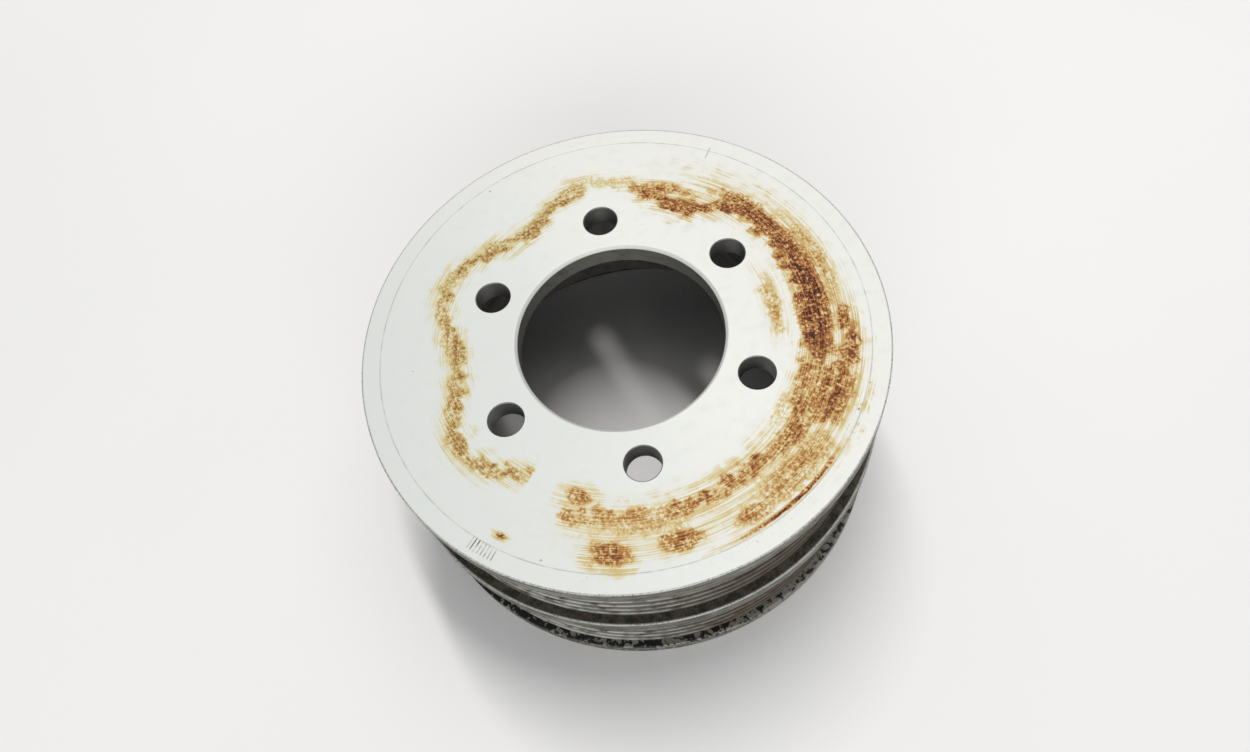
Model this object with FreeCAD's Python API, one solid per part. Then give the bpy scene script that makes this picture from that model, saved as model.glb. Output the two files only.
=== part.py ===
import FreeCAD, Part
import math
import os

# Hollow-bore electromagnetic pulley clutch.
# Origin: centre of the rear face that it rests on. +Z runs along the axis towards the bolt-on hub
# face. One of the six bolt holes lies towards -Y. Depths are measured down from the hub face.

# ---- Driving dimensions, millimetres -------------------------------------------------------

# belt rim
rim_radius = 67.0            # front and middle flanges
rear_flange_inset = 0.7      # how much smaller the pressed-on rear flange is
flange_rise = 2.7            # flanges above the tops of the belt ribs
groove_depth = 2.9
groove_pitch = 3.56          # PK multi-rib belt
groove_count = 6             # on each of the two tracks
groove_angle = 40.0
groove_root_radius = 0.5
groove_edge = 2.3            # first groove's centre from its flange
front_flange = 5.0
middle_flange = 4.9
rear_flange = 4.4
rim_wall = 3.4               # metal left under the grooves
rotor_seat_step = 0.6        # how much the bore opens out behind the rotor's shoulder
mouth_step = 0.7             # and once more at the rim's rear end
mouth_depth = 5.0
rear_seat_wall = 3.3         # rim left inside the rear flange ring
edge_break = 0.4

# bolt-on hub
bore_radius = 26.5
bore_chamfer = 0.7
bolt_land = 5.0              # metal between the bore and the bolt holes
bolt_hole_radius = 4.5
bolt_count = 6
bolt_hole_chamfer = 0.25
hub_plate = 6.2
lip_thickness = 3.0
lip_inset = 4.9              # hub face's edge inside the rim's edge
sleeve_wall = 2.3
sleeve_fillet = 2.0
sleeve_end = 1.0             # sleeve left behind the last retaining ring

# double-row ball bearing between hub and rim
bearing_section = 9.5        # radial height
bearing_width = 12.0
bearing_boss = 0.5           # step on the hub that the inner ring stands against
ball_radius = 2.1
balls_per_row = 32
ring_gap = 2.1               # radial space between the two rings
bearing_shoulder = 1.1
seal_thickness = 0.8
seal_recess = 0.2
cage_thickness = 1.2

# armature, springs and rotor
carrier_thickness = 2.5
carrier_width = 5.8
spring_thickness = 0.5
spring_width = 2.8
spring_count = 3
spring_arc = 80.0
armature_thickness = 3.0
air_gap = 0.4
rotor_thickness = 3.2
slot_width = 1.4
slot_count = 6
slot_arc = 46.0
first_slot = 15.0
lining_width = 2.2
lining_depth = 1.0
rivet_radius = 0.9
rivet_head_radius = 1.6
rivet_head = 0.5

# stationary field
field_height = 13.0
pole_wall = 1.4
field_floor = 1.8
bobbin_wall = 0.6
potting_thickness = 0.5
bush_length = 7.6
washer_thickness = 0.8
retaining_ring_thickness = 1.1
retaining_ring_width = 2.6
retaining_ring_sunk = 0.8
bracket_thickness = 2.0
bracket_width = 16.0
bracket_reach = 20.5
bracket_inset = 0.4          # bracket's end inside the field's edge
fork_width = 6.2
fork_length = 7.5
screw_radius = 1.5
screw_head_radius = 2.7
screw_head = 1.7
screw_spacing = 12.0
socket_radius = 1.25         # circle round the screw's hexagon recess
terminal_length = 14.0
terminal_width = 6.5
terminal_height = 8.0
terminal_wall = 1.0
blade_width = 2.8
blade_thickness = 0.8
blade_spacing = 5.6
lead_radius = 0.5

# angles round the axis, degrees
first_bolt_angle = -90.0
bracket_angle = -60.0
terminal_angle = -100.0
carrier_ring_angle = 30.0
upper_ring_angle = 150.0
lower_ring_angle = 60.0
circlip_angle = 90.0

# ---- Named clearances ----------------------------------------------------------------------

running_fit = 0.05           # radial, bush on sleeve and balls in raceways
end_float = 0.1              # axial, between turning faces
hairline = 0.1               # radial, hub face's edge in the rim
lip_gap = 0.2                # axial, under the hub's lip
guard_gap = 0.3              # radial, hub plate inside the rim's shoulder
pocket_gap = 0.1             # ball in cage
seal_gap = 0.2               # axial, ball clear of its seal
seat_gap = 0.05              # retaining ring in its groove
groove_gap = 0.2             # radial, under the circlip in its groove
swing_gap = 0.9              # radial, between turning rings
armature_gap = 0.72          # radial, armature inside the rim
ring_clearance = 0.7         # radial, field outside the retaining rings
field_gap = 1.2              # radial, field inside the rim
hole_gap = 0.4               # round a rivet head

# ---- Sizes that follow ---------------------------------------------------------------------

track_width = (groove_count - 1) * groove_pitch + 2 * groove_edge
height = front_flange + middle_flange + rear_flange + 2 * track_width
crest_radius = rim_radius - flange_rise
rear_flange_radius = rim_radius - rear_flange_inset
root_radius = crest_radius - groove_depth
bearing_seat = root_radius - rim_wall
rotor_seat = bearing_seat + rotor_seat_step
mouth_radius = rotor_seat + mouth_step
bolt_circle_radius = bore_radius + bolt_land + bolt_hole_radius
hub_face_radius = rim_radius - lip_inset
sleeve_radius = bearing_seat - bearing_section
sleeve_bore = sleeve_radius - sleeve_wall
pitch_radius = (bearing_seat + sleeve_radius) / 2
inner_ring_radius = pitch_radius - ring_gap / 2
outer_ring_bore = pitch_radius + ring_gap / 2
ring_top_radius = sleeve_radius - retaining_ring_sunk + retaining_ring_width
disc_bore = ring_top_radius + swing_gap
shoulder_bore = bearing_seat - bearing_shoulder
guard_radius = shoulder_bore - guard_gap
carrier_radius = sleeve_radius + carrier_width
armature_radius = bearing_seat - armature_gap
field_radius = rotor_seat - field_gap
field_bore = ring_top_radius + ring_clearance
coil_inner = field_bore + pole_wall
coil_outer = field_radius - pole_wall
spring_radius = carrier_radius - spring_width / 2 - seat_gap

bearing_front = hub_plate + bearing_boss
bearing_rear = bearing_front + bearing_width
carrier_rear = bearing_rear + carrier_thickness
armature_front = carrier_rear + spring_thickness
armature_rear = armature_front + armature_thickness
rotor_front = armature_rear + air_gap
rotor_rear = rotor_front + rotor_thickness
field_front = rotor_rear + air_gap
field_rear = field_front + field_height
bush_rear = field_front + bush_length
washer_front = bush_rear + end_float
washer_rear = washer_front + washer_thickness
sleeve_rear = washer_rear + retaining_ring_thickness + 2 * seat_gap + sleeve_end
bracket_rear = field_rear + bracket_thickness

os.makedirs("parts", exist_ok=True)


# ---- Building blocks -----------------------------------------------------------------------

def down(depth):
    """Height above the rear face of a plane at this depth under the hub face."""
    return height - depth


def point(radius, z):
    return FreeCAD.Vector(radius, 0, z)


def turned(outline):
    """Revolve a closed outline of (radius, z) points. An item of four numbers is an arc,
    through its first pair to its second pair."""
    edges = []
    start = point(*outline[0])
    last = start
    for item in outline[1:]:
        end = point(*item[-2:])
        if len(item) == 4:
            edges.append(Part.Arc(last, point(*item[:2]), end).toShape())
        else:
            edges.append(Part.LineSegment(last, end).toShape())
        last = end
    edges.append(Part.LineSegment(last, start).toShape())
    face = Part.Face(Part.Wire(edges))
    return face.revolve(FreeCAD.Vector(0, 0, 0), FreeCAD.Vector(0, 0, 1), 360)


def ring(inner, outer, front, rear):
    """A plain ring between two radii and two depths."""
    return turned([(inner, down(rear)), (outer, down(rear)), (outer, down(front)), (inner, down(front))])


def drum(radius, front, rear):
    """A solid round bar on the axis between two depths."""
    return Part.makeCylinder(radius, rear - front, FreeCAD.Vector(0, 0, down(rear)))


def bar(radius, front, rear, circle, angle):
    """A round bar between two depths, on a circle, at an angle."""
    return placed(drum(radius, front, rear), circle, angle)


def placed(shape, circle, angle):
    """Move a shape built on the axis out to a circle and round to an angle."""
    copy = shape.copy()
    copy.translate(FreeCAD.Vector(circle, 0, 0))
    copy.rotate(FreeCAD.Vector(0, 0, 0), FreeCAD.Vector(0, 0, 1), angle)
    return copy


def block(radial, tangential, front, rear):
    """A block centred on the axis: its radial and tangential size, between two depths."""
    corner = FreeCAD.Vector(-radial / 2, -tangential / 2, down(rear))
    return Part.makeBox(radial, tangential, rear - front, corner)


def sector(inner, outer, front, rear, arc, middle):
    """A piece of a ring with rounded ends that spans an arc about its middle angle."""
    centre = (inner + outer) / 2
    end_radius = (outer - inner) / 2
    piece = Part.makeCylinder(outer, rear - front, FreeCAD.Vector(0, 0, down(rear)),
                              FreeCAD.Vector(0, 0, 1), arc)
    piece = piece.cut(drum(inner, front, rear))
    for angle in (0.0, arc):
        piece = piece.fuse(bar(end_radius, front, rear, centre, angle))
    piece = piece.removeSplitter()
    piece.rotate(FreeCAD.Vector(0, 0, 0), FreeCAD.Vector(0, 0, 1), middle - arc / 2)
    return piece


def steps(count, first=0.0):
    """Evenly spaced angles round the axis."""
    return [first + index * 360.0 / count for index in range(count)]


def save(name, solids):
    """Write one node's STEP file from one solid or from a list of separate solids."""
    group = solids if isinstance(solids, list) else [solids]
    shape = group[0] if len(group) == 1 else Part.makeCompound(group)
    for solid in group:
        if not solid.isValid() or solid.Volume <= 0 or len(solid.Solids) != 1:
            raise ValueError(name + " has a bad solid")
    shape.exportStep("parts/" + name + ".step")
    print(name, len(group), "solid(s)", round(shape.Volume, 1), "mm3")


# ---- Belt rim ------------------------------------------------------------------------------

def groove(depth):
    """Outline of one belt groove from its front edge to its rear edge."""
    half_angle = math.radians(groove_angle / 2)
    flank_foot = root_radius + groove_root_radius * (1 - math.sin(half_angle))
    half_foot = groove_root_radius * math.cos(half_angle)
    half_mouth = half_foot + (crest_radius - flank_foot) * math.tan(half_angle)
    centre = down(depth)
    return [(crest_radius, centre + half_mouth),
            (flank_foot, centre + half_foot),
            (root_radius, centre, flank_foot, centre - half_foot),
            (crest_radius, centre - half_mouth)]


def track(first_depth):
    """Outline of one belt track, between the flange in front of it and the one behind it."""
    outline = [(crest_radius, down(first_depth))]
    for index in range(groove_count):
        outline += groove(first_depth + groove_edge + index * groove_pitch)
    outline.append((crest_radius, down(first_depth + track_width)))
    return outline


def flange(front, rear):
    """Outline of a flange's edge, with both arrises broken."""
    inner = rim_radius - edge_break
    return [(inner, down(front)), (rim_radius, down(front + edge_break)),
            (rim_radius, down(rear - edge_break)), (inner, down(rear))]


rear_seat_radius = mouth_radius + rear_seat_wall
second_flange = front_flange + track_width
second_track = second_flange + middle_flange
lip_pocket = lip_thickness + lip_gap
circlip_front = bearing_rear + seat_gap
circlip_rear = circlip_front + retaining_ring_thickness
circlip_radius = bearing_seat + retaining_ring_sunk + groove_gap

rim_outline = [(hub_face_radius + hairline, down(lip_pocket))]
rim_outline += [(hub_face_radius + hairline, down(hairline)), (hub_face_radius + 2 * hairline, down(0))]
rim_outline += flange(0, front_flange)
rim_outline += track(front_flange)
rim_outline += flange(second_flange, second_track)
rim_outline += track(second_track)
rim_outline += [(rear_seat_radius, down(height - rear_flange)), (rear_seat_radius, 0)]
rim_outline += [(mouth_radius + edge_break, 0), (mouth_radius, edge_break), (mouth_radius, mouth_depth)]
rim_outline += [(rotor_seat, mouth_depth + mouth_radius - rotor_seat), (rotor_seat, down(rotor_front))]
rim_outline += [(bearing_seat, down(rotor_front)), (bearing_seat, down(circlip_rear + seat_gap))]
rim_outline += [(circlip_radius, down(circlip_rear + seat_gap)), (circlip_radius, down(bearing_rear))]
rim_outline += [(bearing_seat, down(bearing_rear)), (bearing_seat, down(bearing_front))]
rim_outline += [(shoulder_bore, down(bearing_front)), (shoulder_bore, down(lip_pocket))]
save("pulley_rim", turned(rim_outline))

rear_edge = rear_flange_radius - edge_break
save("rear_flange_ring", turned([(rear_seat_radius, 0), (rear_edge, 0), (rear_flange_radius, edge_break),
                                 (rear_flange_radius, rear_flange - edge_break),
                                 (rear_edge, rear_flange), (rear_seat_radius, rear_flange)]))

# ---- Hub -----------------------------------------------------------------------------------


def ring_groove(front):
    """Outline of the sleeve's groove for a retaining ring whose front face is at this depth."""
    floor = sleeve_radius - retaining_ring_sunk
    near = down(front - seat_gap)
    far = down(front + retaining_ring_thickness + seat_gap)
    return [(sleeve_radius, near), (floor, near), (floor, far), (sleeve_radius, far)]


carrier_ring_front = carrier_rear + seat_gap
upper_ring_front = field_front - end_float - retaining_ring_thickness
lower_ring_front = washer_rear + seat_gap
sleeve_round = sleeve_fillet * (1 - math.sqrt(0.5))
boss_radius = inner_ring_radius - bearing_boss

hub_outline = [(bore_radius, down(hub_plate - edge_break)), (bore_radius, down(bore_chamfer))]
hub_outline += [(bore_radius + bore_chamfer, down(0)), (hub_face_radius - hairline, down(0))]
hub_outline += [(hub_face_radius, down(hairline)), (hub_face_radius, down(lip_thickness))]
hub_outline += [(guard_radius, down(lip_thickness)), (guard_radius, down(hub_plate))]
hub_outline += [(boss_radius, down(hub_plate)), (boss_radius, down(bearing_front))]
hub_outline += [(sleeve_radius, down(bearing_front))]
for ring_front in (carrier_ring_front, upper_ring_front, lower_ring_front):
    hub_outline += ring_groove(ring_front)
hub_outline += [(sleeve_radius, down(sleeve_rear - edge_break))]
hub_outline += [(sleeve_radius - edge_break, down(sleeve_rear))]
hub_outline += [(sleeve_bore, down(sleeve_rear)), (sleeve_bore, down(hub_plate + sleeve_fillet))]
hub_outline += [(sleeve_bore - sleeve_round, down(hub_plate + sleeve_round),
                 sleeve_bore - sleeve_fillet, down(hub_plate))]
hub_outline += [(bore_radius + edge_break, down(hub_plate))]

bolt_hole = drum(bolt_hole_radius, 0, hub_plate)
mouth_cone = Part.makeCone(bolt_hole_radius, bolt_hole_radius + bolt_hole_chamfer, bolt_hole_chamfer,
                           FreeCAD.Vector(0, 0, down(bolt_hole_chamfer)))
hub = turned(hub_outline)
for angle in steps(bolt_count, first_bolt_angle):
    hub = hub.cut(placed(bolt_hole, bolt_circle_radius, angle))
    hub = hub.cut(placed(mouth_cone, bolt_circle_radius, angle))
save("hub_flange", hub)


def open_ring(inner, outer, front, gap_angle):
    """A retaining ring with a gap and a plier hole near each end."""
    middle = (inner + outer) / 2
    width = outer - inner
    shape = ring(inner, outer, front, front + retaining_ring_thickness)
    gap = block(2 * width, 2 * width, front, front + retaining_ring_thickness)
    shape = shape.cut(placed(gap, middle, gap_angle))
    turn = math.degrees(1.8 * width / middle)
    for side in (-turn, turn):
        hole = bar(width / 4, front, front + retaining_ring_thickness, middle, gap_angle + side)
        shape = shape.cut(hole)
    return shape


ring_floor = sleeve_radius - retaining_ring_sunk
save("carrier_retaining_ring", open_ring(ring_floor, ring_top_radius, carrier_ring_front, carrier_ring_angle))
save("field_upper_retaining_ring", open_ring(ring_floor, ring_top_radius, upper_ring_front, upper_ring_angle))
save("field_lower_retaining_ring", open_ring(ring_floor, ring_top_radius, lower_ring_front, lower_ring_angle))
save("field_thrust_washer", ring(sleeve_radius, field_bore - 2 * seat_gap, washer_front, washer_rear))
save("bearing_circlip", open_ring(carrier_radius + swing_gap, circlip_radius - 2 * seat_gap,
                                  circlip_front, circlip_angle))

# ---- Double-row bearing --------------------------------------------------------------------

row_inset = seal_recess + seal_thickness + seal_gap + ball_radius
row_depths = [bearing_front + row_inset, bearing_rear - row_inset]


def cut_raceways(shape):
    """Cut both rows' ball tracks in a bearing ring."""
    for depth in row_depths:
        raceway = Part.makeTorus(pitch_radius, ball_radius + running_fit, FreeCAD.Vector(0, 0, down(depth)))
        shape = shape.cut(raceway)
    return shape


inner_ring = ring(sleeve_radius, inner_ring_radius, bearing_front, bearing_rear)
outer_ring = ring(outer_ring_bore, bearing_seat, bearing_front, bearing_rear)
save("bearing_inner_ring", cut_raceways(inner_ring))
save("bearing_outer_ring", cut_raceways(outer_ring))

seal_front = bearing_front + seal_recess
seal_rear = bearing_rear - seal_recess
save("bearing_front_seal", ring(inner_ring_radius + 2 * running_fit, outer_ring_bore,
                                seal_front, seal_front + seal_thickness))
save("bearing_rear_seal", ring(inner_ring_radius + 2 * running_fit, outer_ring_bore,
                               seal_rear - seal_thickness, seal_rear))

ball = Part.makeSphere(ball_radius)
pocket = Part.makeCylinder(ball_radius + pocket_gap, 4 * cage_thickness,
                           FreeCAD.Vector(-2 * cage_thickness, 0, 0), FreeCAD.Vector(1, 0, 0))
cage = ring(pitch_radius - cage_thickness / 2, pitch_radius + cage_thickness / 2,
            seal_front + seal_thickness + 2 * end_float, seal_rear - seal_thickness - 2 * end_float)
pockets = []
for name, depth, first in (("front_ball_row", row_depths[0], 0.0),
                           ("rear_ball_row", row_depths[1], 180.0 / balls_per_row)):
    balls = []
    for angle in steps(balls_per_row, first):
        raised = [placed(shape, pitch_radius, angle) for shape in (ball, pocket)]
        for shape in raised:
            shape.translate(FreeCAD.Vector(0, 0, down(depth)))
        balls.append(raised[0])
        pockets.append(raised[1])
    save(name, balls)
save("bearing_cage", cage.cut(pockets))

# ---- Armature, its carrier and springs -----------------------------------------------------

carrier_angles = steps(spring_count, 0.0)
armature_angles = steps(spring_count, spring_arc)


def drilled(shape, radius, front, rear, circle, angles):
    """Drill a hole at each angle on a circle."""
    for angle in angles:
        shape = shape.cut(bar(radius, front, rear, circle, angle))
    return shape


carrier_step = bearing_rear + rivet_head
carrier_collar = spring_radius - rivet_head_radius - hole_gap
carrier = turned([(sleeve_radius, down(carrier_rear)), (carrier_radius, down(carrier_rear)),
                  (carrier_radius, down(carrier_step)), (carrier_collar, down(carrier_step)),
                  (carrier_collar, down(bearing_rear)), (sleeve_radius, down(bearing_rear))])
carrier = drilled(carrier, rivet_radius, carrier_step, carrier_rear, spring_radius, carrier_angles)
carrier = drilled(carrier, rivet_head_radius + hole_gap, carrier_rear - 2 * rivet_head, carrier_rear,
                  spring_radius, armature_angles)
save("armature_carrier", carrier)

springs = []
for first in carrier_angles:
    spring = sector(spring_radius - spring_width / 2, spring_radius + spring_width / 2,
                    carrier_rear, armature_front, spring_arc, first + spring_arc / 2)
    springs.append(drilled(spring, rivet_radius, carrier_rear, armature_front, spring_radius,
                           [first, first + spring_arc]))
save("leaf_springs", springs)

armature = ring(disc_bore, armature_radius, armature_front, armature_rear)
armature = drilled(armature, rivet_head_radius + hole_gap, armature_front,
                   armature_front + rivet_head + air_gap, spring_radius, carrier_angles)
armature = drilled(armature, rivet_radius, armature_front, armature_rear, spring_radius, armature_angles)
armature = drilled(armature, rivet_head_radius, armature_rear - 2 * rivet_head, armature_rear,
                   spring_radius, armature_angles)
save("armature_disc", armature)


def rivet(head_front, shank_front, shank_rear, head_rear, angle):
    """A rivet with a round head in front and a formed head behind."""
    shape = drum(rivet_head_radius, head_front, shank_front)
    shape = shape.fuse(drum(rivet_radius, shank_front, shank_rear))
    shape = shape.fuse(drum(rivet_head_radius, shank_rear, head_rear))
    return placed(shape.removeSplitter(), spring_radius, angle)


save("carrier_rivets", [rivet(carrier_step - 0.8 * rivet_head, carrier_step, armature_front,
                              armature_front + rivet_head, angle) for angle in carrier_angles])
save("armature_rivets", [rivet(carrier_rear - rivet_head, carrier_rear, armature_rear - 2 * rivet_head,
                               armature_rear - rivet_head / 2, angle) for angle in armature_angles])

# ---- Rotor ---------------------------------------------------------------------------------

pole_middle = (coil_inner + coil_outer) / 2
lining_rear = rotor_front + lining_depth
rotor = ring(disc_bore, rotor_seat, rotor_front, rotor_rear)
lining = ring(pole_middle - lining_width / 2, pole_middle + lining_width / 2, rotor_front, lining_rear)
rotor = rotor.cut(lining)
for angle in steps(slot_count, first_slot):
    rotor = rotor.cut(sector(pole_middle - slot_width / 2, pole_middle + slot_width / 2,
                             rotor_front, rotor_rear, slot_arc, angle))
save("rotor_disc", rotor)
save("friction_ring", lining)

# ---- Stationary field ----------------------------------------------------------------------

floor_front = field_rear - field_floor
screw_turn = math.degrees(math.asin(screw_spacing / 2 / pole_middle))
screw_angles = [bracket_angle - screw_turn, bracket_angle + screw_turn]
lead_turn = math.degrees(math.atan(blade_spacing / 2 / pole_middle))
lead_circle = math.hypot(pole_middle, blade_spacing / 2)
lead_angles = [terminal_angle - lead_turn, terminal_angle + lead_turn]

shell = turned([(field_bore, down(field_rear)), (field_radius, down(field_rear)),
                (field_radius, down(field_front)), (coil_outer, down(field_front)),
                (coil_outer, down(floor_front)), (coil_inner, down(floor_front)),
                (coil_inner, down(field_front)), (field_bore, down(field_front))])
shell = drilled(shell, screw_radius, floor_front, field_rear, pole_middle, screw_angles)
shell = drilled(shell, 2 * lead_radius, floor_front, field_rear, lead_circle, lead_angles)
save("field_shell", shell)

potting_front = field_front + end_float
bobbin_front = potting_front + potting_thickness
bobbin_inner = coil_inner + seat_gap
bobbin_outer = coil_outer - seat_gap
core_radius = bobbin_inner + bobbin_wall
wire_front = bobbin_front + bobbin_wall
wire_rear = floor_front - bobbin_wall
bobbin = turned([(bobbin_inner, down(floor_front)), (bobbin_outer, down(floor_front)),
                 (bobbin_outer, down(wire_rear)), (core_radius, down(wire_rear)),
                 (core_radius, down(wire_front)), (bobbin_outer, down(wire_front)),
                 (bobbin_outer, down(bobbin_front)), (bobbin_inner, down(bobbin_front))])
save("coil_bobbin", drilled(bobbin, 2 * lead_radius, wire_rear, floor_front, lead_circle, lead_angles))
save("coil_winding", ring(core_radius, bobbin_outer - 4 * seat_gap, wire_front, wire_rear))
save("potting_ring", ring(coil_inner, coil_outer, potting_front, bobbin_front))
save("field_bush", ring(sleeve_radius + running_fit, field_bore, field_front, bush_rear))

plate_centre = field_radius - bracket_reach / 2 - bracket_inset
bracket = block(bracket_reach, bracket_width, field_rear, bracket_rear)
fork_end = -bracket_reach / 2 + fork_length
slot = block(2 * fork_length, fork_width, field_rear, bracket_rear)
slot.translate(FreeCAD.Vector(-bracket_reach / 2, 0, 0))
slot_end = drum(fork_width / 2, field_rear, bracket_rear)
slot_end.translate(FreeCAD.Vector(fork_end, 0, 0))
bracket = placed(bracket.cut([slot, slot_end]), plate_centre, bracket_angle)
save("torque_bracket", drilled(bracket, screw_radius, field_rear, bracket_rear, pole_middle, screw_angles))

hexagon = Part.makePolygon([FreeCAD.Vector(socket_radius * math.cos(math.radians(turn)),
                                           socket_radius * math.sin(math.radians(turn)),
                                           down(bracket_rear + screw_head))
                            for turn in range(0, 361, 60)])
hexagon_recess = Part.Face(Part.Wire(hexagon)).extrude(FreeCAD.Vector(0, 0, 0.6 * screw_head))
screw = drum(screw_head_radius, bracket_rear, bracket_rear + screw_head)
screw = screw.fuse(drum(screw_radius, floor_front, bracket_rear)).removeSplitter().cut(hexagon_recess)
save("bracket_screws", [placed(screw, pole_middle, angle) for angle in screw_angles])

terminal_rear = field_rear + terminal_height
terminal_roof = field_rear + 2 * terminal_wall
blade_root = terminal_roof - terminal_wall
housing = block(terminal_width, terminal_length, field_rear, terminal_rear)
upright = [edge for edge in housing.Edges if abs(edge.tangentAt(edge.FirstParameter).z) > 0.9]
housing = housing.makeFillet(terminal_wall, upright)
housing = housing.cut(block(terminal_width - 2 * terminal_wall, terminal_length - 2 * terminal_wall,
                            terminal_roof, terminal_rear))
blades = []
for offset in (-blade_spacing / 2, blade_spacing / 2):
    blade = block(blade_thickness, blade_width, blade_root, terminal_rear - terminal_wall)
    lead = drum(lead_radius, field_rear, blade_root)
    for shape in (blade, lead):
        shape.translate(FreeCAD.Vector(0, offset, 0))
    housing = housing.cut([blade, lead])
    blades.append(placed(blade, pole_middle, terminal_angle))
save("terminal_housing", placed(housing, pole_middle, terminal_angle))
save("terminal_blades", blades)
save("coil_leads", [bar(lead_radius, wire_rear, blade_root, lead_circle, angle) for angle in lead_angles])
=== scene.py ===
"""Looks of a hollow-bore electromagnetic pulley clutch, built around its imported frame."""

import logging
import math
from dataclasses import dataclass
from enum import Enum
from typing import Any, Iterable, Sequence

import bmesh
import bpy
from mathutils import Matrix, Vector

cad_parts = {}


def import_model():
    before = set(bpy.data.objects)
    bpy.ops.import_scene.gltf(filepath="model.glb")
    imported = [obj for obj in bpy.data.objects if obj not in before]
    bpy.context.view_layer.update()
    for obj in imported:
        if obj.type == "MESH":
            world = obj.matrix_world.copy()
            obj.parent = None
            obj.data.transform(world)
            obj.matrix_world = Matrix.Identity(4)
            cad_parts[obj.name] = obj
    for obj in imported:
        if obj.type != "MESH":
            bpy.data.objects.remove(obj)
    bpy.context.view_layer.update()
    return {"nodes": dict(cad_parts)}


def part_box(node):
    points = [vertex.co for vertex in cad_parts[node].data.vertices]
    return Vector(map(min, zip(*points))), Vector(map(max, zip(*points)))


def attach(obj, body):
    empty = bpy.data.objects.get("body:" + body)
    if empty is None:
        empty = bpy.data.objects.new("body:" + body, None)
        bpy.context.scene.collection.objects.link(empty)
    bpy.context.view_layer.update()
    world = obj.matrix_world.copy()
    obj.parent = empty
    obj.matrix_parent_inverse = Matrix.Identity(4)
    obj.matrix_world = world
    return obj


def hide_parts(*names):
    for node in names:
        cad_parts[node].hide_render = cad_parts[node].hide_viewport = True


MM = 0.001
SHARP_EDGE = math.radians(34)
LOG = logging.getLogger("clutch")
Colour = tuple[float, float, float, float]
Spot = tuple[float, float, float]
# A direction round the axis and how far the arc reaches to each side of it, in degrees.
Arc = tuple[float, float]


# ---- Shader maths --------------------------------------------------------------------------

class Signal:
    """One number that varies over a surface. Python operators add the Math nodes."""

    def __init__(self, graph: "Graph", socket: bpy.types.NodeSocket) -> None:
        """Wrap a socket of a graph."""
        self.graph = graph
        self.socket = socket

    def _math(self, operation: str, *values: Any) -> "Signal":
        """Add one Math node on these values."""
        node = self.graph.node("ShaderNodeMath", {"operation": operation}, values)
        return Signal(self.graph, node.outputs[0])

    def __add__(self, other: Any) -> "Signal":
        """Sum."""
        return self._math("ADD", self, other)

    def __radd__(self, other: Any) -> "Signal":
        """Reflected sum."""
        return self._math("ADD", other, self)

    def __sub__(self, other: Any) -> "Signal":
        """Difference."""
        return self._math("SUBTRACT", self, other)

    def __rsub__(self, other: Any) -> "Signal":
        """Reflected difference."""
        return self._math("SUBTRACT", other, self)

    def __mul__(self, other: Any) -> "Signal":
        """Product."""
        return self._math("MULTIPLY", self, other)

    def __truediv__(self, other: Any) -> "Signal":
        """Quotient."""
        return self._math("DIVIDE", self, other)

    def __pow__(self, other: Any) -> "Signal":
        """Power."""
        return self._math("POWER", self, other)

    def cosine(self) -> "Signal":
        """Cosine of an angle in radians."""
        return self._math("COSINE", self)

    def square(self) -> "Signal":
        """Square."""
        return self * self

    def larger(self, other: Any) -> "Signal":
        """The larger of this and another value."""
        return self._math("MAXIMUM", self, other)

    def clamped(self, low: float = 0.0) -> "Signal":
        """The value held between a low limit and 1."""
        return self._math("MINIMUM", self._math("MAXIMUM", self, low), 1.0)

    def rise(self, low: float, high: float) -> "Signal":
        """A smooth step.

        Args:
            low: where it leaves 0.
            high: where it reaches 1. It may be lower than low, and then the step falls.

        Returns:
            A signal from 0 to 1.
        """
        if low > high:
            return 1.0 - self.rise(high, low)
        node = self.graph.node("ShaderNodeMapRange", {"interpolation_type": "SMOOTHSTEP"},
                               {"Value": self, "From Min": low, "From Max": high})
        return Signal(self.graph, node.outputs["Result"])

    def within(self, centre: float, reach: float, soft: float) -> "Signal":
        """A window that is 1 near a value and falls off beyond its reach."""
        distance = self._math("ABSOLUTE", self - centre)
        return distance.rise(reach + soft, reach)


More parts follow.
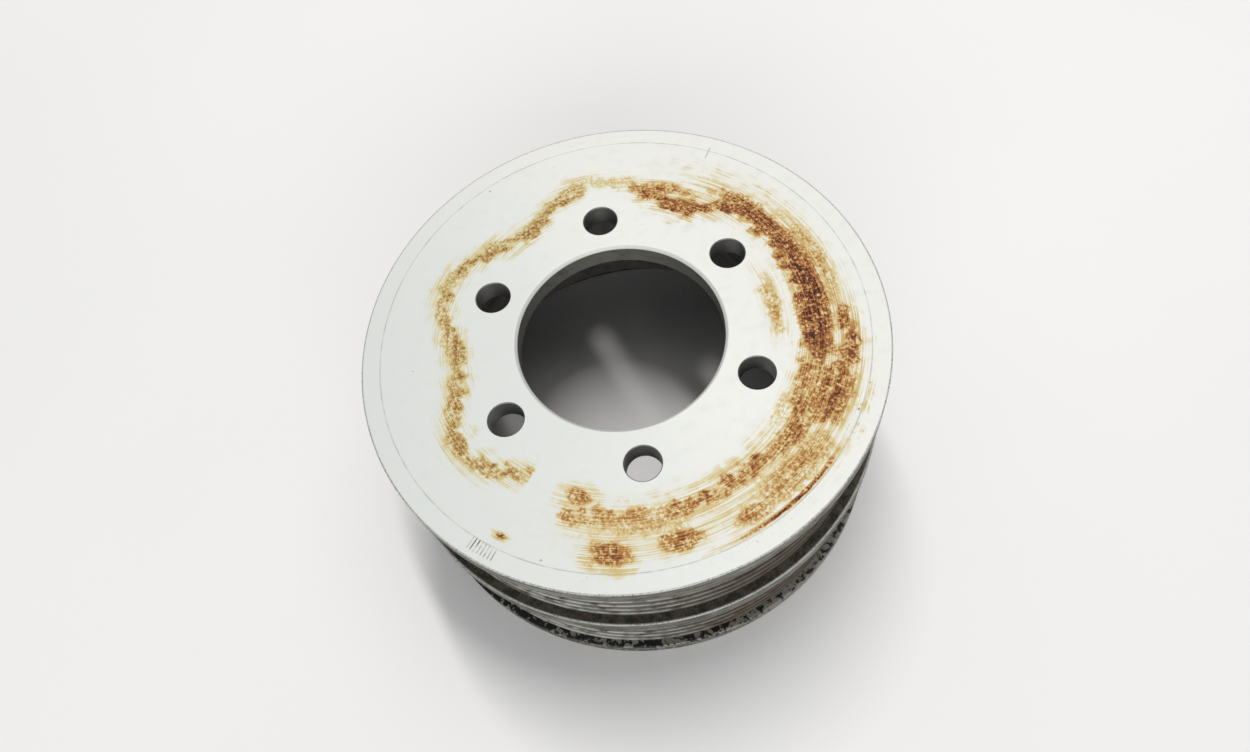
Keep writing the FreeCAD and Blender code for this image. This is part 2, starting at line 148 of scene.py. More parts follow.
class Graph:
    """A material's node tree. Places are Object coordinates in millimetres."""

    def __init__(self, name: str) -> None:
        """Start a material with a Principled shader.

        Args:
            name: the material's name.
        """
        self.material = bpy.data.materials.new(name)
        self.material.use_nodes = True
        self.tree = self.material.node_tree
        self.shader = self.tree.nodes["Principled BSDF"]
        coordinates = self.node("ShaderNodeTexCoord", {}, {})
        scaled = self.node("ShaderNodeVectorMath", {"operation": "SCALE"},
                           {"Vector": coordinates.outputs["Object"], "Scale": 1 / MM})
        self.place = scaled.outputs[0]
        split = self.node("ShaderNodeSeparateXYZ", {}, {"Vector": self.place})
        self.x, self.y, self.z = (Signal(self, socket) for socket in split.outputs)
        self.radius = (self.x * self.x + self.y * self.y) ** 0.5

    def node(self, kind: str, settings: dict[str, Any], inputs: Any) -> bpy.types.Node:
        """Add a node.

        Args:
            kind: the node's type.
            settings: attributes to set first; "stops" holds a ramp's places and colours.
            inputs: values or links, by socket name, or in order.

        Returns:
            The new node.
        """
        made = self.tree.nodes.new(kind)
        for key, value in settings.items():
            if key == "stops":
                ramp = made.color_ramp
                while len(ramp.elements) < len(value):
                    ramp.elements.new(1.0)
                for element, (where, colour) in zip(ramp.elements, value):
                    element.position = where
                    element.color = colour
            else:
                setattr(made, key, value)
        pairs = inputs.items() if isinstance(inputs, dict) else enumerate(inputs)
        for key, value in pairs:
            self.feed(made.inputs[key], value)
        return made

    def feed(self, socket: bpy.types.NodeSocket, value: Any) -> None:
        """Link a signal or socket to an input, or set the input's own value.

        Args:
            socket: the input.
            value: what feeds it.
        """
        if isinstance(value, Signal):
            value = value.socket
        if isinstance(value, bpy.types.NodeSocket):
            self.tree.links.new(value, socket)
        else:
            socket.default_value = value

    def noise(self, scale: float, detail: float = 3.0, vector: Any = None) -> Signal:
        """Noise from 0 to 1.

        Args:
            scale: how fine it is; its features are about 1 / scale millimetres.
            detail: how many finer layers it has.
            vector: the coordinates that it runs on, if not the place.

        Returns:
            The noise.
        """
        node = self.node("ShaderNodeTexNoise", {},
                         {"Vector": vector or self.place, "Scale": scale, "Detail": detail})
        return Signal(self, node.outputs["Fac"])

    def round_axis(self, around: float, across: float) -> bpy.types.NodeSocket:
        """Coordinates that run round the axis, for streaks left by a lathe.

        Args:
            around: how quickly they change round the axis.
            across: how quickly they change with the radius, per millimetre.

        Returns:
            A vector socket.
        """
        node = self.node("ShaderNodeCombineXYZ", {}, {
            "X": self.x / self.radius * around, "Y": self.y / self.radius * around,
            "Z": self.radius * across + self.z * across})
        return node.outputs[0]

    def toward(self, degrees: float) -> Signal:
        """Cosine of the angle between each point's direction and a direction round the axis."""
        turn = math.radians(degrees)
        return (self.x * math.cos(turn) + self.y * math.sin(turn)) / self.radius

    def away(self, degrees: float) -> Signal:
        """Degrees between each point's direction and a direction round the axis, never negative."""
        node = self.node("ShaderNodeMath", {"operation": "ARCCOSINE"}, [self.toward(degrees).clamped(-1.0)])
        return Signal(self, node.outputs[0]) * math.degrees(1)

    def arc(self, degrees: float, reach: float, soft: float = 0.4) -> Signal:
        """A window round an angle: 1 at its middle, 0 beyond its reach in degrees."""
        return self.away(degrees).rise(reach * (1 + soft), reach * (1 - soft))

    def turn(self) -> Signal:
        """The angle round the axis, in radians from -pi to pi."""
        node = self.node("ShaderNodeMath", {"operation": "ARCTAN2"}, [self.y, self.x])
        return Signal(self, node.outputs[0])

    def ramp(self, factor: Signal, stops: Sequence[tuple[float, Colour]]) -> bpy.types.NodeSocket:
        """A colour looked up from a signal."""
        node = self.node("ShaderNodeValToRGB", {"stops": stops}, {"Fac": factor})
        return node.outputs["Color"]

    def mix(self, factor: Any, first: Any, second: Any) -> bpy.types.NodeSocket:
        """A mix of two colours.

        Args:
            factor: 0 for the first colour, 1 for the second.
            first: a colour or a colour socket.
            second: another.

        Returns:
            The mixed colour's socket.
        """
        node = self.node("ShaderNodeMix", {"data_type": "RGBA"}, {})
        for index, value in ((0, factor), (6, first), (7, second)):
            self.feed(node.inputs[index], value)
        return node.outputs[2]

    def finish(self, colour: Any, roughness: Any, metallic: Any, height: Signal | None = None,
               lift: float = 0.05) -> bpy.types.Material:
        """Feed the shader.

        Args:
            colour: base colour.
            roughness: roughness.
            metallic: how metallic.
            height: bump height from 0 to 1, if there is any.
            lift: how high 1 is, in millimetres.

        Returns:
            The finished material.
        """
        self.feed(self.shader.inputs["Base Color"], colour)
        self.feed(self.shader.inputs["Roughness"], roughness)
        self.feed(self.shader.inputs["Metallic"], metallic)
        if height is not None:
            bump = self.node("ShaderNodeBump", {},
                             {"Height": height, "Distance": lift * MM, "Strength": 1.0})
            self.feed(self.shader.inputs["Normal"], bump.outputs["Normal"])
        return self.material


def paint(red: float, green: float, blue: float) -> Colour:
    """A linear colour from 8-bit display values.

    Args:
        red: red, from 0 to 255.
        green: green.
        blue: blue.

    Returns:
        The colour, with an alpha of 1.
    """
    def linear(value: float) -> float:
        """One channel."""
        share = value / 255
        return share / 12.92 if share <= 0.04045 else ((share + 0.055) / 1.055) ** 2.4
    return (linear(red), linear(green), linear(blue), 1.0)


# ---- Finishes ------------------------------------------------------------------------------

@dataclass(frozen=True)
class RustPatch:
    """A patch of fretting rust on the hub face: where it lies, its half sizes and weight."""

    angle: float
    radius: float
    arc: float
    width: float
    weight: float


@dataclass(frozen=True)
class RustStretch:
    """A stretch of the rust band: its middle and reach in degrees, and what it adds to its weight."""

    angle: float
    reach: float
    weight: float
    soft: float = 0.4


@dataclass(frozen=True)
class MachinedFace:
    """The bright bolt-on face, with the scalloped rust that crept in round the bolts."""

    bright: Colour = paint(225, 225, 220)
    cool: Colour = paint(206, 210, 207)
    soot: Colour = paint(70, 58, 50)
    band_radius: float = 45.6
    scallop: float = 3.6
    plain_radius: float = 49.2
    band_width: float = 2.0
    heavy_width: float = 3.6
    haze_width: float = 5.2
    first_bolt: float = 30.0
    bolts: int = 6
    joint_radius: float = 62.1
    scalloped_arcs: tuple[Arc, ...] = ((127, 84), (205, 36))
    heavy_arc: Arc = (2, 34)
    base_weight: float = 0.58
    wander: float = 9.0
    fray: float = 1.4
    cool_side: float = 200.0
    ochre_arc: Arc = (165, 72)
    wash_arc: Arc = (338, 86)
    wash_radius: float = 51.0
    tick_pitch: float = 0.85
    comb_arc: Arc = (231.5, 3.2)
    comb_smear: Arc = (229.4, 1.2)
    comb_radius: float = 63.6
    faint_arcs: tuple[tuple[float, float, float], ...] = ((257, 4, 0.3), (292, 13, 0.2))
    faint_radius: float = 63.0
    scratch_arc: Arc = (58, 0.16)
    scratch_radius: float = 61.4
    stretches: tuple[RustStretch, ...] = (
        RustStretch(1, 20, 0.42),
        RustStretch(48, 26, 0.20),
        RustStretch(86, 9, -0.38),
        RustStretch(238, 6, -0.80, 0.3),
        RustStretch(262, 12, -0.16),
        RustStretch(325, 14, -0.05),
    )
    patches: tuple[RustPatch, ...] = (
        RustPatch(0, 49.6, 19, 3.0, 1.15),
        RustPatch(38, 50.2, 14, 2.6, 0.72),
        RustPatch(60, 43.2, 12, 1.6, 0.50),
        RustPatch(66, 46.6, 10, 2.0, 0.62),
        RustPatch(331, 54.4, 13, 5.2, 0.72),
        RustPatch(345, 57.2, 7, 2.2, 0.86),
        RustPatch(352, 55.6, 5, 2.0, 0.74),
        RustPatch(12, 54.6, 22, 2.4, 0.34),
        RustPatch(308, 56.5, 17, 4.4, 0.40),
        RustPatch(318, 50.6, 12, 2.8, 0.62),
        RustPatch(259, 57.4, 5.2, 3.2, 0.78),
        RustPatch(275.5, 56.4, 6.2, 3.0, 0.62),
        RustPatch(293, 57.4, 5.5, 2.6, 0.50),
        RustPatch(303, 61.2, 15, 0.6, 0.86),
        RustPatch(233.5, 59.2, 1.6, 1.0, 0.84),
        RustPatch(249, 44.4, 5, 2.4, 0.60),
        RustPatch(268, 50.6, 17, 3.6, 0.34),
        RustPatch(1, 39.2, 13, 2.4, 0.36),
        RustPatch(322, 45.5, 9, 2.4, 0.22),
    )
    stops: tuple[tuple[float, Colour], ...] = (
        (0.00, paint(214, 211, 192)),
        (0.12, paint(206, 187, 130)),
        (0.26, paint(182, 132, 62)),
        (0.42, paint(146, 82, 32)),
        (0.58, paint(108, 50, 23)),
        (0.76, paint(74, 31, 19)),
        (1.00, paint(50, 21, 16)),
    )
    ochre_stops: tuple[tuple[float, Colour], ...] = (
        (0.00, paint(212, 211, 194)),
        (0.14, paint(204, 192, 142)),
        (0.30, paint(180, 150, 84)),
        (0.50, paint(142, 98, 44)),
        (0.74, paint(104, 62, 32)),
        (1.00, paint(66, 36, 24)),
    )

    def build(self) -> bpy.types.Material:
        """Make the material.

        Returns:
            The material.
        """
        graph = Graph("machined_face")
        line = graph.noise(1.0, 3.0, graph.round_axis(3.0, 3.2))
        fine = graph.noise(1.0, 2.0, graph.round_axis(6.0, 8.0))
        mottle = graph.noise(0.30, 5.0)
        grain = graph.noise(1.1, 6.0)
        core, haze = self.band(graph, mottle, grain)
        for patch in self.patches:
            along = graph.away(patch.angle) / patch.arc
            across = (graph.radius - patch.radius) / patch.width
            spread = (along.square() + across.square()) ** 0.5 + (mottle - 0.5) * 2.4 + (grain - 0.5) * 1.0
            core = core.larger(spread.rise(1.25, 0.55) * patch.weight)
            haze = haze.larger(spread.rise(2.1, 0.9) * patch.weight * 0.7)

        broken = mottle.rise(0.38, 0.60) * 0.45 + grain.rise(0.38, 0.60) * 0.55
        streaky = line.rise(0.42, 0.60)
        chipped = graph.noise(1.6, 3.0).rise(0.53, 0.62)
        density = core * (0.22 + broken * 0.88) * (0.60 + streaky * 0.40) * (1 - chipped * 0.55)
        density = density.larger(haze * 0.36 * (streaky * 0.75 + broken * 0.25))
        wash = graph.radius.within(self.wash_radius, 5.0, 6.0) * graph.arc(*self.wash_arc, 0.3)
        density = density.larger(wash * (0.03 + streaky * mottle.rise(0.38, 0.66) * 0.11)).clamped()

        clean = graph.mix(graph.toward(self.cool_side).rise(-0.6, 1.0) * 0.75, self.bright, self.cool)
        clean = graph.mix(mottle.rise(0.48, 0.80) * 0.45 + fine.rise(0.45, 0.75) * 0.12, clean, self.cool)
        rusty = graph.mix(graph.arc(*self.ochre_arc, 0.3) * 0.85, graph.ramp(density, self.stops),
                          graph.ramp(density, self.ochre_stops))
        colour = graph.mix(density.rise(0.0, 0.10), clean, rusty)
        colour = graph.mix(self.marks(graph, mottle, grain), colour, self.soot)
        roughness = 0.54 + grain * 0.08 + density * 0.30
        metallic = 0.16 - density.rise(0.0, 0.4) * 0.14
        height = fine * 0.45 + line * 0.15 + density * grain * 0.9
        return graph.finish(colour, roughness, metallic, height, 0.03)

    def band(self, graph: Graph, mottle: Signal, grain: Signal) -> tuple[Signal, Signal]:
        """The band of rust that dips in between the bolts.

        Args:
            graph: the material's graph.
            mottle: broad noise that makes it wander.
            grain: fine noise that frays it.

        Returns:
            The band's dark core and the pale haze on both sides of it.
        """
        first, second = (graph.arc(*arc, 0.12) for arc in self.scalloped_arcs)
        scalloped = (first + second).clamped()
        centre = (self.band_radius + self.bolt_wave(graph) * self.scallop) * scalloped
        centre = centre + (1 - scalloped) * self.plain_radius
        width = self.band_width + graph.arc(*self.heavy_arc, 0.5) * (self.heavy_width - self.band_width)
        offset = graph.radius - centre + (mottle - 0.5) * self.wander
        distance = offset.square() ** 0.5
        spread = distance / width + (grain - 0.5) * self.fray
        weight = self.base_weight
        for stretch in self.stretches:
            weight = weight + graph.arc(stretch.angle, stretch.reach, stretch.soft) * stretch.weight
        weight = weight.clamped()
        haze = (distance / self.haze_width).rise(1.3, 0.1)
        return spread.rise(1.5, 0.5) * weight, haze * weight

    def bolt_wave(self, graph: Graph) -> Signal:
        """A wave round the axis, from -1 to 1, that peaks at each bolt hole."""
        return ((graph.turn() - math.radians(self.first_bolt)) * self.bolts).cosine()

    def marks(self, graph: Graph, mottle: Signal, grain: Signal) -> Signal:
        """Dark ticks, scratches and specks on the face.

        Args:
            graph: the material's graph.
            mottle: broad noise that fades them.
            grain: noise that breaks them up.

        Returns:
            How dark the marks are, from 0 to 1.
        """
        ticks = (graph.turn() * (360 / self.tick_pitch)).cosine().rise(0.1, 0.8)
        comb = ticks * graph.arc(*self.comb_arc, 0.1) * graph.radius.within(self.comb_radius, 1.2, 0.7)
        comb = comb * mottle.rise(0.30, 0.55) * (0.55 + graph.arc(*self.comb_smear, 0.5) * 0.45)
        first, second = (graph.arc(*arc) for arc in self.faint_arcs)
        faint = (first + second) * graph.radius.within(self.faint_radius, 0.8, 0.5)
        ticks = ticks * faint * grain.rise(0.5, 0.7) * 0.22
        scratched = graph.radius.within(self.scratch_radius, 1.4, 1.0)
        scratch = graph.arc(*self.scratch_arc, 0.5) * scratched * 0.42
        joint = graph.radius.within(self.joint_radius, 0.08, 0.14) * (0.12 + mottle.rise(0.35, 0.65) * 0.22)
        peppered = graph.noise(0.55, 1.0).rise(0.80, 0.84) * 0.6
        return comb.larger(ticks).larger(scratch).larger(joint).larger(peppered).clamped()


@dataclass(frozen=True)
class TurnedMetal:
    """Turned or ground metal, with lathe marks round the axis and stains."""

    name: str
    base: Colour
    stain: Colour
    rough: float = 0.4
    metallic: float = 0.85
    stained: float = 0.4
    line_lift: float = 0.03

    def build(self) -> bpy.types.Material:
        """Make the material.

        Returns:
            The material.
        """
        graph = Graph(self.name)
        lines = graph.noise(1.0, 3.0, graph.round_axis(3.0, 4.0))
        blotch = graph.noise(0.22, 5.0)
        speckle = graph.noise(1.6, 3.0)
        darkening = (blotch * 0.7 + speckle * 0.3).rise(0.62 - self.stained * 0.3, 0.78)
        colour = graph.mix(darkening * (0.35 + self.stained), self.base, self.stain)
        colour = graph.mix(lines.rise(0.4, 0.8) * 0.25, colour, self.stain)
        roughness = self.rough + lines * 0.12 + darkening * 0.25
        return graph.finish(colour, roughness, self.metallic - darkening * 0.4, lines * 0.6 + speckle * 0.3,
                            self.line_lift)


@dataclass(frozen=True)
class BeltTrack:
    """Worn belt grooves: rib tops worn bright, with a painted highlight on the side towards 205 degrees, and
    darker towards the roots.
    """

    crest_radius: float = 64.3
    root_radius: float = 61.4
    bright: Colour = paint(198, 202, 194)
    worn: Colour = paint(86, 75, 60)
    root_tone: Colour = paint(33, 28, 24)
    fleck: Colour = paint(44, 36, 30)
    highlight_arc: Arc = (205, 58)

    def build(self) -> bpy.types.Material:
        """Make the material.

        Returns:
            The material.
        """
        graph = Graph("belt_track")
        depth = (self.crest_radius - graph.radius) / (self.crest_radius - self.root_radius)
        blotch = graph.noise(0.12, 4.0)
        speckle = graph.noise(1.8, 4.0)
        runs = graph.noise(1.0, 3.0, graph.round_axis(14.0, 0.8))
        # Darker towards the roots of the grooves, broken up by blotches and speckle.
        darkening = (depth + (blotch - 0.5) * 0.8 + (speckle - 0.5) * 0.4).rise(0.10, 0.80)
        colour = graph.mix(darkening, self.worn, self.root_tone)
        # Rib tops: a faint brightening all round for wear, and a painted highlight much brighter on the side
        # towards 205 degrees.
        facing = graph.arc(*self.highlight_arc, 0.5) * 0.85 + 0.12
        polish_and_highlight = (1 - depth).rise(0.62, 0.98) * runs.rise(0.30, 0.55) * facing
        colour = graph.mix(polish_and_highlight, colour, self.bright)
        colour = graph.mix(speckle.rise(0.62, 0.72) * 0.6, colour, self.fleck)
        return graph.finish(colour, 0.42 + darkening * 0.35, 0.5 - darkening * 0.35, runs * 0.5 + speckle * 0.5, 0.04)


@dataclass(frozen=True)
class FlangeEdge:
    """The flanges' sides and rims: mottled brown-grey, with a painted highlight along each arris."""

    name: str
    outer_radius: float
    arrises: tuple[float, ...]
    highlight_reach: float = 0.18
    highlight_soft: float = 0.22
    base: Colour = paint(100, 95, 83)
    dark: Colour = paint(42, 38, 32)
    bright: Colour = paint(206, 208, 200)

    def build(self) -> bpy.types.Material:
        """Make the material.

        Returns:
            The material.
        """
        graph = Graph(self.name)
        blotch = graph.noise(0.35, 5.0)
        speckle = graph.noise(2.0, 4.0)
        lines = graph.noise(1.0, 3.0, graph.round_axis(5.0, 3.0))
        outside = graph.radius.rise(self.outer_radius - 0.7, self.outer_radius - 0.25)
        # Painted highlight: a bright band at the height of each arris.
        worn, *others = (graph.z.within(arris, self.highlight_reach, self.highlight_soft) for arris in self.arrises)
        for other in others:
            worn = worn.larger(other)
        darkening = (blotch * 0.55 + speckle * 0.45).rise(0.40, 0.60)
        colour = graph.mix(darkening * 0.8, self.base, self.dark)
        colour = graph.mix(outside * lines.rise(0.45, 0.62) * 0.35, colour, self.bright)
        # Painted highlight along the arrises, on the outer side only, broken up by speckle.
        colour = graph.mix(outside * worn * (0.35 + speckle.rise(0.35, 0.55) * 0.6), colour, self.bright)
        height = blotch * 0.3 + speckle * 0.4 + lines * 0.3
        return graph.finish(colour, 0.42 + speckle * 0.3, 0.45, height, 0.05)


@dataclass(frozen=True)
class ChippedPaint:
    """Black paint on the rear flange, chipped through to grey metal."""

    paint_colour: Colour = paint(22, 21, 20)
    metal: Colour = paint(158, 158, 148)
    rust: Colour = paint(110, 78, 50)
    bare_side: float = 335.0
    outer_radius: float = 66.3

    def build(self) -> bpy.types.Material:
        """Make the material.

        Returns:
            The material.
        """
        graph = Graph("chipped_paint")
        large = graph.noise(0.22, 3.0)
        chips = graph.noise(0.8, 6.0)
        outside = graph.radius.rise(self.outer_radius - 0.8, self.outer_radius - 0.4)
        low_edge = graph.z.rise(0.9, 0.3) * outside
        bias = graph.toward(self.bare_side) * 0.075 + low_edge * 0.16
        bare = (large * 0.35 + chips * 0.65 + bias).rise(0.51, 0.55)
        metal = graph.mix(graph.noise(1.5, 3.0).rise(0.5, 0.75), self.metal, self.rust)
        colour = graph.mix(bare, self.paint_colour, metal)
        height = (1 - bare) * 0.8 + chips * 0.2
        return graph.finish(colour, 0.34 + bare * 0.2 + chips * 0.1, bare * 0.7, height, 0.09)


@dataclass(frozen=True)
class Enamel:
    """Sprayed enamel or moulded plastic: an even colour with a fine orange peel and dust."""

    name: str
    base: Colour
    dust: Colour
    rough: float = 0.35
    dusty: float = 0.3
    peel: float = 0.02

    def build(self) -> bpy.types.Material:
        """Make the material.

        Returns:
            The material.
        """
        graph = Graph(self.name)
        cloud = graph.noise(0.15, 4.0)
        peel = graph.noise(2.5, 2.0)
        settled = (cloud * 0.7 + peel * 0.3).rise(0.48, 0.75) * self.dusty
        colour = graph.mix(settled, self.base, self.dust)
        return graph.finish(colour, self.rough + settled * 0.5 + peel * 0.08, 0.0, peel, self.peel)


@dataclass(frozen=True)
class WoundWire:
    """Enamelled copper wire, wound layer on layer, with painted shade down between the turns and layers."""

    pitch: float = 0.55
    light: Colour = paint(196, 112, 62)
    dark: Colour = paint(96, 44, 24)

    def build(self) -> bpy.types.Material:
        """Make the material.

        Returns:
            The material.
        """
        graph = Graph("wound_wire")
        turn = (graph.z * (2 * math.pi / self.pitch)).cosine() * 0.5 + 0.5
        layer = (graph.radius * (2 * math.pi / self.pitch)).cosine() * 0.5 + 0.5
        height = turn * 0.5 + layer * 0.5
        # Painted shade: the colour follows the bump height, dark down between the turns and layers.
        colour = graph.mix(height, self.dark, self.light)
        return graph.finish(colour, 0.25 + graph.noise(0.8) * 0.2, 0.8, height, 0.2)


class Finish(Enum):
    """Every finish on the clutch."""

    FACE = MachinedFace()
    TRACK = BeltTrack()
    FLANGE = FlangeEdge("flange_edge", 67.0, (59.1, 54.1, 31.7, 26.8))
    PAINT = ChippedPaint()
    BORE = TurnedMetal("bore_wall", paint(138, 138, 130), paint(70, 66, 60), 0.45, 0.7, 0.5)
    HOLE = TurnedMetal("hole_wall", paint(138, 138, 134), paint(60, 56, 52), 0.45, 0.7, 0.5)
    SKIRT = TurnedMetal("rough_skirt", paint(52, 47, 42), paint(28, 22, 19), 0.6, 0.5, 0.8, 0.08)
    SLEEVE = TurnedMetal("turned_sleeve", paint(112, 110, 106), paint(56, 48, 42), 0.5, 0.65, 0.6, 0.05)
    GROUND = TurnedMetal("ground_steel", paint(186, 190, 194), paint(110, 108, 104), 0.22, 0.95, 0.15, 0.01)
    SCORED = TurnedMetal("scored_steel", paint(134, 132, 130), paint(70, 58, 50), 0.45, 0.8, 0.5, 0.06)
    PLATED = TurnedMetal("plated_steel", paint(196, 194, 178), paint(140, 132, 108), 0.34, 0.85, 0.3, 0.02)
    BLUED = TurnedMetal("blued_spring_steel", paint(62, 64, 72), paint(40, 34, 32), 0.32, 0.85, 0.3, 0.02)
    BRONZE = TurnedMetal("sintered_bronze", paint(164, 122, 74), paint(92, 66, 42), 0.5, 0.8, 0.4, 0.03)
    BRASS = TurnedMetal("machined_brass", paint(206, 172, 96), paint(130, 98, 52), 0.3, 0.9, 0.2, 0.02)
    BLACK = Enamel("field_enamel", paint(30, 30, 32), paint(96, 88, 78), 0.34, 0.35, 0.04)
    RUBBER = Enamel("seal_rubber", paint(24, 24, 24), paint(80, 74, 68), 0.6, 0.3, 0.03)
    LINING = Enamel("friction_lining", paint(86, 74, 62), paint(50, 42, 36), 0.85, 0.6, 0.12)
    NYLON = Enamel("bobbin_nylon", paint(212, 206, 186), paint(160, 150, 128), 0.45, 0.3, 0.02)
    PLASTIC = Enamel("terminal_plastic", paint(34, 34, 36), paint(90, 86, 80), 0.45, 0.3, 0.03)
    EPOXY = Enamel("potting_epoxy", paint(84, 48, 26), paint(120, 96, 70), 0.15, 0.2, 0.02)
    COPPER = WoundWire()


class Finishes:
    """The materials, each made once."""

    def __init__(self) -> None:
        """Start with none made."""
        self._made: dict[Finish, bpy.types.Material] = {}

    def get(self, finish: Finish) -> bpy.types.Material:
        """The material of a finish.

        Args:
            finish: the finish.

        Returns:
            Its material, made the first time.
        """
        if finish not in self._made:
            self._made[finish] = finish.value.build()
        return self._made[finish]

    def dress(self, node: bpy.types.Object, finish: Finish) -> None:
        """Give every slot of a carried-over node one finish.

        Args:
            node: the node.
            finish: its new finish.
        """
        if not node.material_slots:
            node.data.materials.append(self.get(finish))
        for slot in node.material_slots:
            slot.material = self.get(finish)


# ---- Turned shapes -------------------------------------------------------------------------

@dataclass(frozen=True)
class Corner:
    """One corner of a turned outline, in millimetres, and the finish of the stretch that leaves it."""

    radius: float
    height: float
    finish: Finish
    rounding: float = 0.0


class Lathe:
    """Turns closed outlines into smooth meshes."""

    def __init__(self, finishes: Finishes, segments: int = 320) -> None:
        """Keep the finishes and the number of steps round the axis."""
        self.finishes = finishes
        self.segments = segments

    @staticmethod
    def _rounded(outline: Sequence[Corner], steps: int = 3) -> list[Corner]:
        """Replace each rounded corner by a few points of its arc.

        Args:
            outline: a closed outline.
            steps: how many stretches each arc has.

        Returns:
            The outline with its arcs.
        """
        longest = 0.45
        result: list[Corner] = []
        for index, corner in enumerate(outline):
            if corner.rounding <= 0:
                result.append(corner)
                continue
            here = Vector((corner.radius, corner.height))
            before, after = outline[index - 1], outline[(index + 1) % len(outline)]
            back = Vector((before.radius, before.height)) - here
            ahead = Vector((after.radius, after.height)) - here
            reach = min(corner.rounding, longest * back.length, longest * ahead.length)
            start, end = here + back.normalized() * reach, here + ahead.normalized() * reach
            for step in range(steps + 1):
                share = step / steps
                spot = start * (1 - share) ** 2 + here * 2 * share * (1 - share) + end * share ** 2
                result.append(Corner(spot.x, spot.y, corner.finish))
        return result

    @staticmethod
    def _supported(outline: Sequence[Corner], long: float = 1.2, inset: float = 0.2) -> list[Corner]:
        """Add a point near both ends of each long stretch, which keeps flat faces flat.

        Args:
            outline: a closed outline.
            long: the length over which a stretch is long.
            inset: how far from the ends the new points lie.

        Returns:
            The outline with the new points.
        """
        result: list[Corner] = []
        for index, corner in enumerate(outline):
            after = outline[(index + 1) % len(outline)]
            here = Vector((corner.radius, corner.height))
            step = Vector((after.radius, after.height)) - here
            result.append(corner)
            if step.length > long:
                for distance in (inset, step.length - inset):
                    spot = here + step.normalized() * distance
                    result.append(Corner(spot.x, spot.y, corner.finish))
        return result

    def turn(self, name: str, outline: Sequence[Corner]) -> bpy.types.Object:
        """Make a turned piece.

        Args:
            name: the piece's name.
            outline: its closed outline.

        Returns:
            The new object.
        """
        points = self._supported(self._rounded(outline))
        order = list(dict.fromkeys(point.finish for point in points))
        mesh = bpy.data.meshes.new(name)
        for finish in order:
            mesh.materials.append(self.finishes.get(finish))
        shape = bmesh.new()
        rings = []
        for step in range(self.segments):
            turn = 2 * math.pi * step / self.segments
            across, away = MM * math.cos(turn), MM * math.sin(turn)
            rings.append([shape.verts.new((point.radius * across, point.radius * away, point.height * MM))
                          for point in points])
        for step in range(self.segments):
            here, beyond = rings[step], rings[(step + 1) % self.segments]
            for index, point in enumerate(points):
                after = (index + 1) % len(points)
                face = shape.faces.new((here[index], beyond[index], beyond[after], here[after]))
                face.material_index = order.index(point.finish)
        return finished(name, mesh, shape)


def finished(name: str, mesh: bpy.types.Mesh, shape: bmesh.types.BMesh) -> bpy.types.Object:
    """Point a shape's faces outwards, shade it smooth between sharp edges, and make its object.

    Args:
        name: the piece's name.
        mesh: the mesh to write to, with its materials.
        shape: the closed shape.

    Returns:
        The new object.
    """
    bmesh.ops.recalc_face_normals(shape, faces=shape.faces)
    if shape.calc_volume(signed=True) < 0:
        bmesh.ops.reverse_faces(shape, faces=shape.faces)
    for face in shape.faces:
        face.smooth = True
    shape.to_mesh(mesh)
    shape.free()
    mesh.set_sharp_from_angle(angle=SHARP_EDGE)
    piece = bpy.data.objects.new(name, mesh)
    bpy.context.scene.collection.objects.link(piece)
    return piece


def baked(piece: bpy.types.Object) -> bpy.types.Object:
    """Keep what a piece's modifiers make of it as its plain mesh, and clear them.

    Args:
        piece: the piece.

    Returns:
        The same object.
    """
    bpy.context.view_layer.update()
    graph = bpy.context.evaluated_depsgraph_get()
    mesh = bpy.data.meshes.new_from_object(piece.evaluated_get(graph), depsgraph=graph)
    piece.modifiers.clear()
    piece.data = mesh
    mesh.name = piece.name
    return piece


# ---- Geometry Nodes ------------------------------------------------------------------------

class Arrangement:
    """A Geometry Nodes tree with named inputs."""

    def __init__(self, name: str, inputs: dict[str, tuple[str, Any]]) -> None:
        """Start a tree.

        Args:
            name: the tree's name.
            inputs: each input's socket type and value.
        """
        self.tree = bpy.data.node_groups.new(name, "GeometryNodeTree")
        self.tree.interface.new_socket("Geometry", in_out="INPUT", socket_type="NodeSocketGeometry")
        self.values = {}
        for label, (kind, value) in inputs.items():
            socket = self.tree.interface.new_socket(label, in_out="INPUT", socket_type=kind)
            self.values[socket.identifier] = value
        self.tree.interface.new_socket("Geometry", in_out="OUTPUT", socket_type="NodeSocketGeometry")
        self.start = self.tree.nodes.new("NodeGroupInput")
        self.end = self.tree.nodes.new("NodeGroupOutput")

    def node(self, kind: str, settings: dict[str, Any], inputs: dict[Any, Any]) -> bpy.types.Node:
        """Add a node.

        Args:
            kind: the node's type.
            settings: attributes to set first.
            inputs: values, sockets, or the names of the tree's own inputs.

        Returns:
            The new node.
        """
        made = self.tree.nodes.new(kind)
        for key, value in settings.items():
            setattr(made, key, value)
        for key, value in inputs.items():
            if isinstance(value, str):
                value = self.start.outputs[value]
            if isinstance(value, bpy.types.NodeSocket):
                self.tree.links.new(value, made.inputs[key])
            else:
                made.inputs[key].default_value = value
        return made

    def apply(self, piece: bpy.types.Object, result: bpy.types.NodeSocket) -> bpy.types.Object:
        """Run the tree on a piece and keep the result as its plain mesh.

        Args:
            piece: the object that the tree works on.
            result: the socket with the finished geometry.

        Returns:
            The same object, with no modifier left.
        """
        self.tree.links.new(result, self.end.inputs[0])
        modifier = piece.modifiers.new(self.tree.name, "NODES")
        modifier.node_group = self.tree
        for identifier, value in self.values.items():
            modifier[identifier] = value
        return baked(piece)


